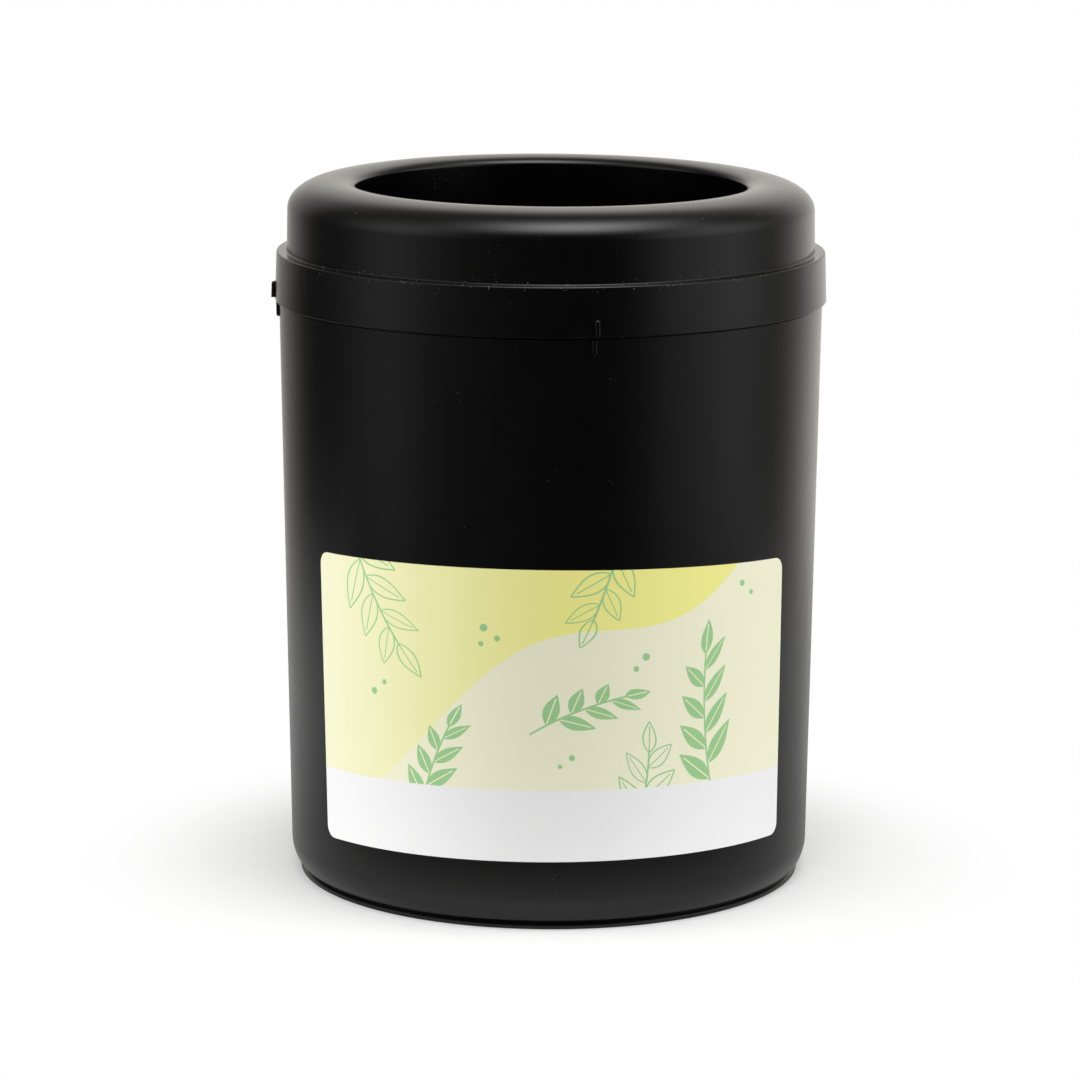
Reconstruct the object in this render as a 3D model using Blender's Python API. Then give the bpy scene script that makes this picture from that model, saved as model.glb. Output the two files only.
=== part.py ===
"""Fragrance cartridge: a black moulded tub with a domed ring lid, filled with scent beads.

The tub stands on a low foot ring and tapers slightly. The lid's collar covers the tub's rim,
and above its shoulder a domed ring rolls over into a round mouth with a straight throat.
Inside, a honeycomb screen is snapped into the tub's neck above the bed of beads.
Lengths are in metres, +Z is up, and the label faces -Y. The origin is the foot's centre.
"""

import math

import bmesh
import bpy
from mathutils import Matrix, Vector

MM = 0.001
FINE = 1e-6
TURN_STEPS = 72

# driving dimensions of the tub
COLLAR_R = 72.8 * MM
WALL = 2.3 * MM
GAP = 0.3 * MM
SEAM_Z = 154.3 * MM
SEAM_GAP = 0.5 * MM
SEAM_WALL_R = COLLAR_R - 0.8 * MM
DRAFT = 0.0162
FOOT_R = 67.3 * MM
FOOT_INNER_R = 62.5 * MM
FOOT_H = 1.25 * MM
FOOT_RECESS = 1.2 * MM
CORNER_Z = 8.8 * MM
CORNER_RADIAL = 5.9 * MM
CORNER_HEIGHT = 8.3 * MM
FLOOR_TOP = FOOT_RECESS + WALL
SPIGOT_R = COLLAR_R - 2.6 * MM
SPIGOT_INNER_R = SPIGOT_R - 2.0 * MM
SPIGOT_TOP = 164.9 * MM

# snap groove inside the neck, which holds the screen
SCREEN_Z = 148.0 * MM
SCREEN_THICK = 1.5 * MM
LEDGE_TOP = SCREEN_Z - GAP
LEDGE_INNER_R = 66.4 * MM
NECK_Z = SCREEN_Z + SCREEN_THICK + 0.4 * MM

# driving dimensions of the lid
LID_WALL = 2.0 * MM
COLLAR_Z = SEAM_Z + SEAM_GAP
COLLAR_LOW_R = COLLAR_R + 0.28 * MM
COLLAR_TOP_R = COLLAR_R - 0.13 * MM
SHOULDER_Z = 167.3 * MM
DOME_FOOT_R = 69.9 * MM
DOME_WALL_R = 69.7 * MM
DOME_WALL_Z = 178.9 * MM
CREST_R = 56.8 * MM
CREST_Z = 186.3 * MM
DOME_POWER = 2.5
MOUTH_R = 51.8 * MM
MOUTH_Z = 184.6 * MM
THROAT_LOW_R = 51.2 * MM
THROAT_END_Z = SCREEN_Z + SCREEN_THICK + GAP

# small edge roundings
COLLAR_EDGE = 0.5 * MM
SHOULDER_EDGE = 0.75 * MM
SHOULDER_FILLET = 0.6 * MM
FOOT_EDGE = 0.35 * MM

# alignment ribs, four on the lid and four on the tub
RIB_COUNT = 4
RIB_WIDTH = 1.35 * MM
RIB_ROOT = 0.9 * MM
LID_RIB = {"azimuth": 9.3, "low": 155.2 * MM, "high": 159.5 * MM, "proud": 1.05 * MM}
TUB_RIB = {"azimuth": 8.85, "low": 150.0 * MM, "high": 154.1 * MM, "proud": 0.85 * MM}

# label
LABEL_LOW_Z = 18.6 * MM
LABEL_HIGH_Z = 94.9 * MM
LABEL_HALF_ANGLE = math.radians(57.5)
LABEL_CENTRE = math.radians(1.2)
LABEL_CORNER = 3.2 * MM
LABEL_THICK = 0.25 * MM

# honeycomb screen
SCREEN_R = 68.9 * MM
CELL_PITCH = 8.2 * MM
CELL_HOLE = 6.0 * MM
CELL_FIELD_R = 49.5 * MM

# bed of beads
BED_TOP = 143.0 * MM
BED_LUMP = 1.4 * MM
LUMP_PITCH = 11.0 * MM
BED_RINGS = 16
BED_STEPS = 60


def clear_scene():
    for thing in list(bpy.data.objects):
        bpy.data.objects.remove(thing, do_unlink=True)


def plastic(name, colour, roughness):
    material = bpy.data.materials.new(name)
    material.use_nodes = True
    shader = material.node_tree.nodes["Principled BSDF"]
    shader.inputs["Base Color"].default_value = (*colour, 1.0)
    shader.inputs["Roughness"].default_value = roughness
    shader.inputs["Metallic"].default_value = 0.0
    material.diffuse_color = (*colour, 1.0)
    return material


def add_object(name, mesh_data, material=None):
    mesh = bpy.data.meshes.new(name)
    mesh_data.to_mesh(mesh)
    mesh_data.free()
    mesh.shade_smooth()
    mesh.set_sharp_from_angle(angle=math.radians(30))
    obj = bpy.data.objects.new(name, mesh)
    bpy.context.scene.collection.objects.link(obj)
    if material:
        mesh.materials.append(material)
    return obj


def arc(centre, radii, start, end, steps):
    """Points of an elliptical arc, angles in degrees from +R towards +Z."""
    points = []
    for i in range(steps + 1):
        angle = math.radians(start + (end - start) * i / steps)
        points.append((centre[0] + radii[0] * math.cos(angle),
                       centre[1] + radii[1] * math.sin(angle)))
    return points


def super_arc(centre, radii, power, steps):
    """Quarter of a superellipse, from its outermost point up to its top."""
    points = []
    for i in range(steps + 1):
        angle = 0.5 * math.pi * i / steps
        points.append((centre[0] + radii[0] * max(math.cos(angle), 0.0) ** (2 / power),
                       centre[1] + radii[1] * math.sin(angle) ** (2 / power)))
    return points


def tub_wall_r(z):
    """Outer radius of the tub's tapered wall at a height."""
    return SEAM_WALL_R + DRAFT * (z - SEAM_Z)


def turned(outline, steps=TURN_STEPS):
    """Closed solid turned about Z from an outline of (radius, height) points."""
    shape = bmesh.new()
    corners = [shape.verts.new((r, 0.0, z)) for r, z in outline]
    edges = []
    for i, corner in enumerate(corners):
        after = corners[(i + 1) % len(corners)]
        on_axis = corner.co.x < FINE and after.co.x < FINE
        if not on_axis:
            edges.append(shape.edges.new((corner, after)))
    bmesh.ops.spin(shape, geom=corners + edges, axis=(0, 0, 1), cent=(0, 0, 0),
                   angle=2 * math.pi, steps=steps, use_merge=True)
    bmesh.ops.remove_doubles(shape, verts=shape.verts, dist=FINE)
    bmesh.ops.recalc_face_normals(shape, faces=shape.faces)
    return shape


def hide_tool(obj):
    obj.hide_render = True
    obj.display_type = "WIRE"


def boolean(obj, tool, operation):
    hide_tool(tool)
    modifier = obj.modifiers.new(operation.title(), "BOOLEAN")
    modifier.operation = operation
    modifier.solver = "EXACT"
    modifier.object = tool


def tub_outline():
    corner_end = math.degrees(math.asin((CORNER_Z - FOOT_H - 0.1 * MM) / CORNER_HEIGHT))
    corner_centre = (tub_wall_r(CORNER_Z) - CORNER_RADIAL, CORNER_Z)
    top_edge = 0.4 * MM
    inner_low_r = tub_wall_r(CORNER_Z) - WALL
    inner_corner = 5.5 * MM
    inner_high_r = tub_wall_r(SCREEN_Z) - WALL
    points = [(0.0, FOOT_RECESS), (FOOT_INNER_R - 1.0 * MM, FOOT_RECESS), (FOOT_INNER_R, 0.0)]
    points += arc((FOOT_R - FOOT_EDGE, FOOT_EDGE), (FOOT_EDGE, FOOT_EDGE), -90, 0, 3)
    points.append((FOOT_R, FOOT_H - 0.3 * MM))
    points.append((FOOT_R - 0.3 * MM, FOOT_H))
    points += arc(corner_centre, (CORNER_RADIAL, CORNER_HEIGHT), -corner_end, 0, 7)
    points += arc((tub_wall_r(SEAM_Z) - top_edge, SEAM_Z - top_edge), (top_edge, top_edge), 0, 90, 2)
    points.append((SPIGOT_R, SEAM_Z))
    points.append((SPIGOT_R, SPIGOT_TOP - 0.5 * MM))
    points.append((SPIGOT_R - 0.5 * MM, SPIGOT_TOP))
    points.append((SPIGOT_INNER_R, SPIGOT_TOP))
    points.append((SPIGOT_INNER_R, NECK_Z + 1.3 * MM))
    points.append((inner_high_r, NECK_Z))
    points.append((inner_high_r, LEDGE_TOP))
    points.append((LEDGE_INNER_R, LEDGE_TOP))
    points.append((LEDGE_INNER_R, LEDGE_TOP - 1.2 * MM))
    points.append((inner_high_r, LEDGE_TOP - 2.9 * MM))
    points += arc((inner_low_r - inner_corner, FLOOR_TOP + inner_corner),
                  (inner_corner, inner_corner), 0, -90, 4)
    points.append((0.0, FLOOR_TOP))
    return points


def lid_outline():
    inner_collar_r = SPIGOT_R + GAP
    ceiling = SPIGOT_TOP + GAP
    dome_size = (DOME_WALL_R - CREST_R, CREST_Z - DOME_WALL_Z)
    roll_steps = 5
    tube_r = THROAT_LOW_R + LID_WALL
    points = arc((COLLAR_LOW_R - COLLAR_EDGE, COLLAR_Z + COLLAR_EDGE), (COLLAR_EDGE, COLLAR_EDGE),
                 -90, 0, 3)
    points += arc((COLLAR_TOP_R - SHOULDER_EDGE, SHOULDER_Z - SHOULDER_EDGE),
                  (SHOULDER_EDGE, SHOULDER_EDGE), 0, 90, 3)
    points += arc((DOME_FOOT_R + SHOULDER_FILLET, SHOULDER_Z + SHOULDER_FILLET),
                  (SHOULDER_FILLET, SHOULDER_FILLET), -90, -180, 2)
    points += super_arc((CREST_R, DOME_WALL_Z), dome_size, DOME_POWER, 9)
    for i in range(1, roll_steps + 1):
        share = i / roll_steps
        points.append((CREST_R + (MOUTH_R - CREST_R) * share,
                       CREST_Z + (MOUTH_Z - CREST_Z) * share ** 2))
    points.append((MOUTH_R - 0.2 * MM, MOUTH_Z - 0.3 * MM))
    points.append((THROAT_LOW_R, THROAT_END_Z))
    points.append((tube_r, THROAT_END_Z))
    points.append((MOUTH_R + LID_WALL, MOUTH_Z - LID_WALL))
    points.append((CREST_R, CREST_Z - LID_WALL))
    inner_size = (dome_size[0] - LID_WALL, dome_size[1] - LID_WALL)
    points += reversed(super_arc((CREST_R, DOME_WALL_Z), inner_size, DOME_POWER, 4)[:-1])
    points.append((DOME_FOOT_R - LID_WALL, ceiling))
    points.append((inner_collar_r, ceiling))
    points.append((inner_collar_r, COLLAR_Z))
    return points


def rib_set(name, rib, wall_r):
    """Four small upright ribs round the axis, their roots sunk in the wall."""
    shape = bmesh.new()
    for k in range(RIB_COUNT):
        azimuth = math.radians(rib["azimuth"] + 360 / RIB_COUNT * k - 90)
        depth = rib["proud"] + RIB_ROOT
        height = rib["high"] - rib["low"]
        place = (Matrix.Rotation(azimuth, 4, "Z")
                 @ Matrix.Translation((wall_r - RIB_ROOT + depth / 2, 0, (rib["low"] + rib["high"]) / 2)))
        size = Matrix.Diagonal((depth, RIB_WIDTH, height, 1.0))
        made = bmesh.ops.create_cube(shape, size=1.0, matrix=place @ size)
        outward = Vector((math.cos(azimuth), math.sin(azimuth), 0))
        outer = [v for v in made["verts"] if v.co.dot(outward) > wall_r]
        edges = {e for v in outer for e in v.link_edges if e.other_vert(v) in outer}
        bmesh.ops.bevel(shape, geom=list(edges), offset=0.3 * MM, segments=2, affect="EDGES", profile=0.5)
    return add_object(name, shape)


def make_tub(material):
    obj = add_object("cup", turned(tub_outline()), material)
    boolean(obj, rib_set("tub_rib_tool", TUB_RIB, tub_wall_r(TUB_RIB["low"])), "UNION")
    return obj


def make_lid(material):
    obj = add_object("lid_ring", turned(lid_outline()), material)
    boolean(obj, rib_set("lid_rib_tool", LID_RIB, COLLAR_LOW_R - 0.1 * MM), "UNION")
    return obj


def make_label(material):
    """Thin sheet wrapped on the tapered wall, a rounded rectangle laid flat."""
    mean_r = tub_wall_r((LABEL_LOW_Z + LABEL_HIGH_Z) / 2)
    corner_angle = LABEL_CORNER / mean_r
    angles = []
    for i in range(6):
        angles.append(-LABEL_HALF_ANGLE + corner_angle * (1 - math.cos(0.5 * math.pi * i / 5)))
    middle = 36
    first = angles[-1]
    for i in range(1, middle):
        angles.append(first - 2 * first * i / middle)
    angles += [-a for a in reversed(angles[:6])]
    shape = bmesh.new()
    layers = []
    for lift in (GAP, GAP + LABEL_THICK):
        rows = []
        for angle in angles:
            inset = max(0.0, corner_angle - (LABEL_HALF_ANGLE - abs(angle))) / corner_angle
            cut = LABEL_CORNER * (1 - math.sqrt(max(0.0, 1 - inset * inset)))
            cut = min(cut, LABEL_CORNER * 0.98)
            turn = LABEL_CENTRE + angle
            pair = []
            for z in (LABEL_LOW_Z + cut, LABEL_HIGH_Z - cut):
                r = tub_wall_r(z) + lift
                pair.append(shape.verts.new((r * math.sin(turn), -r * math.cos(turn), z)))
            rows.append(pair)
        layers.append(rows)
    inner, outer = layers
    last = len(angles) - 1
    for i in range(last):
        shape.faces.new((outer[i][0], outer[i + 1][0], outer[i + 1][1], outer[i][1]))
        shape.faces.new((inner[i][0], inner[i][1], inner[i + 1][1], inner[i + 1][0]))
        shape.faces.new((inner[i][0], inner[i + 1][0], outer[i + 1][0], outer[i][0]))
        shape.faces.new((outer[i][1], outer[i + 1][1], inner[i + 1][1], inner[i][1]))
    shape.faces.new((inner[0][0], outer[0][0], outer[0][1], inner[0][1]))
    shape.faces.new((outer[last][0], inner[last][0], inner[last][1], outer[last][1]))
    bmesh.ops.recalc_face_normals(shape, faces=shape.faces)
    return add_object("label", shape, material)


def honeycomb_tool():
    """Six-sided posts on a triangular lattice, as far out as the lid's throat shows them."""
    shape = bmesh.new()
    reach = int(CELL_FIELD_R / CELL_PITCH) + 2
    post_r = CELL_HOLE / 2 / math.cos(math.radians(30))
    middle_z = SCREEN_Z + SCREEN_THICK / 2
    for i in range(-reach, reach + 1):
        for j in range(-reach, reach + 1):
            x = CELL_PITCH * (i + j / 2)
            y = CELL_PITCH * j * math.sin(math.radians(60))
            if math.hypot(x, y) > CELL_FIELD_R - post_r:
                continue
            place = Matrix.Translation((x, y, middle_z)) @ Matrix.Rotation(math.radians(30), 4, "Z")
            bmesh.ops.create_cone(shape, cap_ends=True, segments=6, radius1=post_r, radius2=post_r,
                                  depth=SCREEN_THICK * 2, matrix=place)
    return add_object("honeycomb_tool", shape)


def make_screen(material):
    outline = [(0.0, SCREEN_Z), (SCREEN_R - 0.3 * MM, SCREEN_Z), (SCREEN_R, SCREEN_Z + 0.3 * MM),
               (SCREEN_R, SCREEN_Z + SCREEN_THICK - 0.3 * MM),
               (SCREEN_R - 0.3 * MM, SCREEN_Z + SCREEN_THICK), (0.0, SCREEN_Z + SCREEN_THICK)]
    obj = add_object("retainer_screen", turned(outline, 72), material)
    boolean(obj, honeycomb_tool(), "DIFFERENCE")
    return obj


def lump_height(x, y):
    """Rounded lumps on a triangular lattice: the mean of three cosine waves 60 degrees apart."""
    wave = 2 * math.pi / (LUMP_PITCH * math.sin(math.radians(60)))
    total = 0.0
    for k in range(3):
        turn = math.radians(60 * k)
        total += math.cos(wave * (x * math.cos(turn) + y * math.sin(turn)))
    return BED_LUMP * total / 3


def make_beads(material):
    """The whole bed as one body that fills the tub up to just below the screen's ledge."""
    wall_low = tub_wall_r(CORNER_Z) - WALL - GAP
    wall_high = tub_wall_r(BED_TOP) - WALL - GAP - 0.2 * MM
    corner = 5.2 * MM
    low = FLOOR_TOP + GAP
    points = [(0.0, low)]
    points += arc((wall_low - corner, low + corner), (corner, corner), -90, 0, 3)
    points.append((wall_high, BED_TOP - 2.0 * MM))
    for i in range(BED_RINGS):
        points.append(((wall_high - 1.5 * MM) * (1 - i / BED_RINGS), BED_TOP))
    points.append((0.0, BED_TOP))
    shape = turned(points, BED_STEPS)
    for vert in shape.verts:
        if vert.co.z > BED_TOP - FINE:
            vert.co.z += lump_height(vert.co.x, vert.co.y)
    return add_object("scent_beads", shape, material)


def main():
    clear_scene()
    black = (0.012, 0.012, 0.012)
    make_tub(plastic("tub_plastic", black, 0.34))
    make_lid(plastic("lid_plastic", black, 0.30))
    make_label(plastic("label_print", (0.80, 0.72, 0.42), 0.45))
    make_screen(plastic("screen_plastic", (0.02, 0.02, 0.02), 0.45))
    make_beads(plastic("bead_resin", (0.72, 0.68, 0.50), 0.40))


if __name__ == "__main__":
    main()
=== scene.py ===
"""Looks of a fragrance cartridge: a black moulded tub and ring lid, a printed label, a honeycomb
screen and a bed of scent beads, on a pale floor under soft studio light.

Lengths are in metres, +Z is up and the label faces -Y, as in the CAD frame.
"""

import math

import bmesh
import bpy
import numpy as np
from mathutils import Matrix, Vector


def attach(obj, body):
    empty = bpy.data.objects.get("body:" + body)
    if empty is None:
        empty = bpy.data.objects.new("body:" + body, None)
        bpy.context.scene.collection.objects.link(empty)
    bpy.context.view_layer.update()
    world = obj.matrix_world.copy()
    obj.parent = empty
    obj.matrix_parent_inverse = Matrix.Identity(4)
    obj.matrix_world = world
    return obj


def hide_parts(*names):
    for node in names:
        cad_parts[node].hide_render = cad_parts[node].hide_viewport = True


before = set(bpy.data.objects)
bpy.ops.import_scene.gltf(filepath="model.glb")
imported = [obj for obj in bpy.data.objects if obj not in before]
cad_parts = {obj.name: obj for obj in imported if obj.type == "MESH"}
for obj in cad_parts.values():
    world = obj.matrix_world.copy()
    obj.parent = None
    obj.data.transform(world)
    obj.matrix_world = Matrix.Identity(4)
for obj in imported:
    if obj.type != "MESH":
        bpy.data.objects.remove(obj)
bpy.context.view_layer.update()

bl_info = {
    "name": "Fragrance cartridge looks",
    "version": (1, 0, 0),
    "blender": (4, 5, 0),
    "location": "View3D > Sidebar > Cartridge",
    "description": "Builds the visible pieces, finishes and studio of a fragrance cartridge",
    "category": "Add Mesh",
}

BODY = "root"
MM = 0.001
SEED = 41


def length(name, description, default):
    return bpy.props.FloatProperty(name=name, description=description, default=default, unit="LENGTH",
                                   precision=5, min=0.0)


def turn(name, description, degrees):
    return bpy.props.FloatProperty(name=name, description=description, default=math.radians(degrees),
                                   subtype="ANGLE")


def plain(name, description, default):
    return bpy.props.FloatProperty(name=name, description=description, default=default, precision=4)


def count(name, description, default):
    return bpy.props.IntProperty(name=name, description=description, default=default, min=3)


def colour(name, description, default):
    return bpy.props.FloatVectorProperty(name=name, description=description, default=default,
                                         subtype="COLOR", size=3, min=0.0, max=1.0)


def grey(name, description, default):
    return colour(name, description, (default, default, default))


class CartridgeTubSizes(bpy.types.PropertyGroup):
    steps: count("Steps round", "Even steps round the tub, before the ribs' own", 300)
    seam_z: length("Seam height", "Height of the tub's rim, where the lid starts", 0.1543)
    seam_r: length("Rim radius", "Outer radius of the wall at the seam", 0.072)
    draft: plain("Draft", "How much the radius grows for each unit of height", 0.0162)
    wall: length("Wall", "Thickness of the tub's wall", 0.0023)
    foot_r: length("Foot radius", "Outer radius of the foot ring", 0.0673)
    foot_inner_r: length("Foot inner radius", "Inner radius of the foot ring", 0.0625)
    foot_h: length("Foot height", "Height of the foot ring's outer face", 0.00125)
    recess: length("Recess", "How far the underside sits above the ground", 0.0012)
    corner_z: length("Corner height", "Height where the bottom corner meets the wall", 0.0088)
    corner_radial: length("Corner reach", "Radial half-axis of the bottom corner", 0.0059)
    corner_height: length("Corner rise", "Upright half-axis of the bottom corner", 0.0083)
    spigot_r: length("Spigot radius", "Outer radius of the neck inside the lid", 0.0702)
    spigot_top: length("Spigot top", "Height of the neck's top", 0.1649)
    ledge_r: length("Ledge radius", "Inner radius of the ledge under the screen", 0.0664)
    ledge_z: length("Ledge height", "Height of the ledge under the screen", 0.1477)
    groove_z: length("Groove height", "Upper end of the groove that holds the screen", 0.1499)
    neck_z: length("Neck foot", "Height where the groove has narrowed to the neck's bore", 0.1512)
    rib_azimuth: turn("Rib azimuth", "Angle of the first rib from the front, towards +X", 8.77)
    rib_low: length("Rib foot", "Lower end of the ribs", 0.1500)
    rib_high: length("Rib top", "Upper end of the ribs", 0.1541)
    rib_proud: length("Rib rise", "How far the ribs stand out", 0.00085)
    rib_left: turn("Left rib azimuth", "Angle of the left rib from the front", -86.5)


class CartridgeLidSizes(bpy.types.PropertyGroup):
    steps: count("Steps round", "Even steps round the lid, before the ribs' own", 300)
    collar_z: length("Collar foot", "Height of the collar's lower edge", 0.1548)
    collar_low_r: length("Collar foot radius", "Radius of the collar at its lower edge", 0.07308)
    collar_top_r: length("Collar top radius", "Radius of the collar at the shoulder", 0.07267)
    shoulder_z: length("Shoulder height", "Height of the narrow shoulder", 0.16766)
    dome_foot_r: length("Dome foot radius", "Radius where the dome's wall starts", 0.0699)
    dome_wall_r: length("Dome wall radius", "Radius where the dome starts to roll over", 0.0697)
    dome_wall_z: length("Dome wall height", "Height where the dome starts to roll over", 0.1787)
    crest_r: length("Crest radius", "Radius of the highest line", 0.0576)
    crest_z: length("Crest height", "Height of the highest line", 0.18615)
    roll_power: plain("Roll power", "Exponent of the roll's rounded square shape", 2.02)
    mouth_r: length("Mouth radius", "Radius of the mouth's edge", 0.0517)
    mouth_z: length("Mouth height", "Height at which the crest has rolled down into the mouth", 0.1839)
    lip_power: plain("Lip power", "Exponent of the rounded square shape inside the crest", 2.05)
    lean_back: plain("Lean back", "Rise of the dome towards the back, per length", 0.0055)
    lean_left: plain("Lean left", "Rise of the dome towards -X, per length", 0.003)
    throat_r: length("Throat radius", "Radius of the throat's lower end", 0.0512)
    throat_z: length("Throat end", "Height of the throat's lower end", 0.1498)
    wall: length("Wall", "Thickness of the lid's wall", 0.002)
    ceiling_z: length("Ceiling", "Height of the hollow over the tub's neck", 0.1652)
    hollow_r: length("Hollow radius", "Inner radius of the collar", 0.0705)
    rib_azimuth: turn("Rib azimuth", "Angle of the first rib from the front, towards +X", 9.22)
    rib_low: length("Rib foot", "Lower end of the ribs", 0.1552)
    rib_high: length("Rib top", "Upper end of the ribs", 0.1595)
    rib_proud: length("Rib rise", "How far the ribs stand out", 0.00105)
    rib_width: length("Rib width", "Width of each rib", 0.00155)
    rib_left: turn("Left rib azimuth", "Angle of the left rib from the front", -86.5)


class CartridgeLabelSizes(bpy.types.PropertyGroup):
    low_z: length("Lower edge", "Height of the lower edge at its middle", 0.01872)
    high_z: length("Upper edge", "Height of the upper edge at its middle", 0.09529)
    half_turn: turn("Half angle", "Half the angle that the label wraps", 57.5)
    centre: turn("Centre", "Angle of the label's middle from the front", 1.1)
    lean: turn("Lean", "How far the middle turns from the lower edge to the upper one", -0.8)
    low_droop: length("Lower droop", "How far the lower edge droops a radian from its middle", 0.0013)
    high_droop: length("Upper droop", "How far the upper edge droops a radian from its middle", 0.0024)
    low_tilt: plain("Lower tilt", "Rise of the lower edge for each radian towards +X", 0.0002)
    high_tilt: plain("Upper tilt", "Rise of the upper edge for each radian towards +X", -0.0007)
    corner: length("Corner", "Radius of the label's corners", 0.0032)
    lift: length("Lift", "Gap between the wall and the film", 0.00003)
    thick: length("Film", "Thickness of the film", 0.00016)


class CartridgeFillSizes(bpy.types.PropertyGroup):
    screen_z: length("Screen height", "Height of the screen's underside", 0.148)
    screen_thick: length("Screen thickness", "Thickness of the screen", 0.0015)
    screen_r: length("Screen radius", "Outer radius of the screen", 0.0689)
    pitch: length("Cell pitch", "Distance between neighbouring cells", 0.0082)
    hole: length("Cell width", "Width across the flats of each hole", 0.006)
    field_r: length("Field radius", "How far out the holes reach", 0.0495)
    bed_low: length("Bed foot", "Height of the bed's underside", 0.0038)
    bed_z: length("Bed height", "Height of the solid part of the bed, under the loose beads", 0.1402)
    bead_r: length("Bead radius", "Mean radius of one bead", 0.0021)
    bead_pitch: length("Bead spacing", "Mean distance between neighbouring beads", 0.0041)


class CartridgeFinish(bpy.types.PropertyGroup):
    plastic: grey("Plastic", "Colour of the black moulded plastic", 0.0008)
    plastic_roughness: plain("Plastic roughness", "Mean roughness of the black plastic", 0.21)
    dust: colour("Dust", "Colour of the dust specks", (0.42, 0.41, 0.38))
    paper: grey("Label white", "Colour of the label's bare band", 0.86)
    yellow: colour("Label yellow", "Deeper yellow of the label's ground", (0.89, 0.86, 0.29))
    cream: colour("Label cream", "Cream at the label's left end", (0.86, 0.86, 0.62))
    hill: colour("Label hill", "Cream of the rising field", (0.865, 0.86, 0.65))
    leaf: colour("Label leaf", "Green of the sprigs", (0.34, 0.60, 0.28))
    bead: colour("Beads", "Colour of the scent beads", (0.62, 0.55, 0.30))


class CartridgeStudio(bpy.types.PropertyGroup):
    lens: plain("Lens", "Focal length in millimetres on a 36 mm wide sensor", 148.40)
    distance: length("Distance", "How far the camera stands in front of the axis", 1.17255)
    height: length("Height", "Height of the camera", 0.32297)
    pitch: turn("Pitch", "How far the camera looks down", math.degrees(0.197))
    roll: turn("Roll", "Turn about the line of sight", math.degrees(0.0038))
    shift_x: plain("Shift", "Sideways lens shift", -0.00908)
    floor_r: length("Floor radius", "Where the floor has faded into the white background", 0.62)
    floor: grey("Floor", "Colour of the floor", 0.78)
    # painted shade: for all rays but the camera's the floor takes these dimmer colours, darkest in front,
    # with painted light close to the foot
    floor_dim_painted_shade: grey("Floor in reflections", "Colour of the floor as the object mirrors it", 0.42)
    floor_front_painted_shade: grey("Front floor", "The same in front of the object, where less light falls", 0.045)
    floor_near_painted_light: grey("Near floor", "The same in front, close to the foot", 0.62)


GROUPS = {
    "cartridge_tub": CartridgeTubSizes,
    "cartridge_lid": CartridgeLidSizes,
    "cartridge_label": CartridgeLabelSizes,
    "cartridge_fill": CartridgeFillSizes,
    "cartridge_finish": CartridgeFinish,
    "cartridge_studio": CartridgeStudio,
}

# rows of vertices at these distances from a rib's round end, in millimetres
RIB_ROWS = np.array([0.0, 0.015, 0.04, 0.08, 0.13, 0.19, 0.26, 0.34, 0.43, 0.53, 0.68])
# columns of vertices at these shares of a rib's half width from its middle
RIB_COLUMNS = (0.0, 0.15, 0.26, 0.34, 0.42, 0.50, 0.58, 0.66, 0.74, 0.81, 0.87, 0.92, 0.96,
               0.985, 1.0, 1.04, 1.2, 1.5)


# profiles as arrays of (radius, height)

def arc(centre, radii, start, end, steps):
    """Elliptical arc: centre + radii * (cos a, sin a), a from start to end in degrees."""
    a = np.radians(np.linspace(start, end, steps + 1))
    return np.stack([centre[0] + radii[0] * np.cos(a), centre[1] + radii[1] * np.sin(a)], axis=1)


def super_arc(centre, radii, power, steps):
    """Quarter of a rounded square: centre + radii * (cos a, sin a) to the power 2 / power."""
    a = 0.5 * np.pi * np.linspace(0.0, 1.0, steps + 1)
    x = np.clip(np.cos(a), 0.0, None) ** (2 / power)
    y = np.sin(a) ** (2 / power)
    return np.stack([centre[0] + radii[0] * x, centre[1] + radii[1] * y], axis=1)


def dense(points, closed):
    """Adds points close to both ends of each long straight run, and evenly along it, so that
    smooth shading stays inside the small roundings."""
    near, longest = 0.12 * MM, 4.0 * MM
    points = np.asarray(points, dtype=float)
    after = np.roll(points, -1, axis=0) if closed else np.vstack([points[1:], points[-1:]])
    out = []
    for a, b in zip(points, after):
        run = float(np.hypot(*(b - a)))
        shares = [0.0]
        if run > 5 * near:
            inner = np.linspace(near / run, 1 - near / run, max(2, int(run / longest) + 1))
            shares += list(inner)
        out.append(a + np.array(shares)[:, None] * (b - a))
    return np.vstack(out)


def rounded(t, edge):
    """0 outside, 1 inside, with a quarter-round crown of the given width: t is the depth from
    the side, and the rise is sqrt(1 - (1 - t / edge) squared)."""
    u = np.clip(t / edge, 0.0, 1.0)
    return np.sqrt(np.clip(1 - (1 - u) ** 2, 0.0, 1.0))


def away_from_ribs(angle, places):
    """Angle between each place round the axis and the nearest rib."""
    return np.min(np.abs((angle[..., None] - places + np.pi) % (2 * np.pi) - np.pi), axis=-1)


def rib_rise(angle, z, radius, places, low, high, proud, width):
    """Height of upright ribs above the wall, as a function of angle and height. A rib's outline
    is a slot shape, all points within half a width of its middle line, and its crown is rounded
    from that outline inwards."""
    off = away_from_ribs(angle, places) * radius
    beyond = np.maximum(np.maximum(low + width / 2 - z, z - high + width / 2), 0.0)
    return proud * rounded(width / 2 - np.hypot(off, beyond), 0.5 * MM)


def angles_with_ribs(steps, radius, places, width):
    """Even angles round the axis, with a cluster of extra ones across each rib."""
    even = np.linspace(-np.pi, np.pi, steps, endpoint=False)
    offs = np.array(RIB_COLUMNS) * width / 2 / radius
    ribs = (places[:, None] + np.concatenate([-offs[:0:-1], offs])).ravel()
    ribs = (ribs + np.pi) % (2 * np.pi) - np.pi
    even = even[away_from_ribs(even, places) > offs[-1] * 1.25]
    return np.sort(np.concatenate([even, ribs]))


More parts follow.
